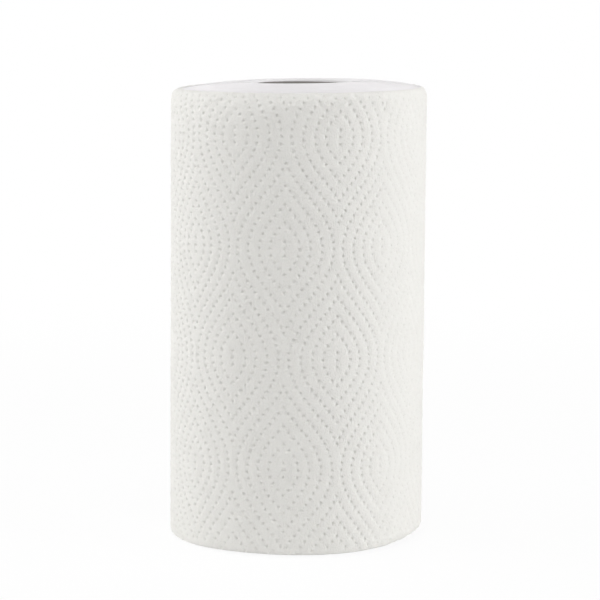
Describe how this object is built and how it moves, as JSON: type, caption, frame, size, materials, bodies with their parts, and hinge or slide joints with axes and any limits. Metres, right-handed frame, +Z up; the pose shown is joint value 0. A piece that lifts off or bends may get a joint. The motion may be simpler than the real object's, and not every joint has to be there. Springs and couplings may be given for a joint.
{
  "type": "paper towel roll",
  "caption": "Paper towel roll standing on its end: one long embossed sheet wound on a paperboard tube, with a slightly domed top end, soft edges and a free tail edge at the back.",
  "frame": {"origin": "on the roll's axis, at the level of the surface it stands on", "axes": "+Z up along the axis of the roll and its tube; the free edge of the last turn is 20 degrees behind the right side, near +X"},
  "size_m": [0.123, 0.123, 0.22],
  "materials": {
    "core_board": "matte grey recycled board, spiral wound",
    "towel_paper": "soft matte white two-ply tissue, embossed with rows of small round dots"
  },
  "bodies": {
    "root": {"core_tube": "core_board", "towel_roll": "towel_paper"}
  },
  "joints": []
}
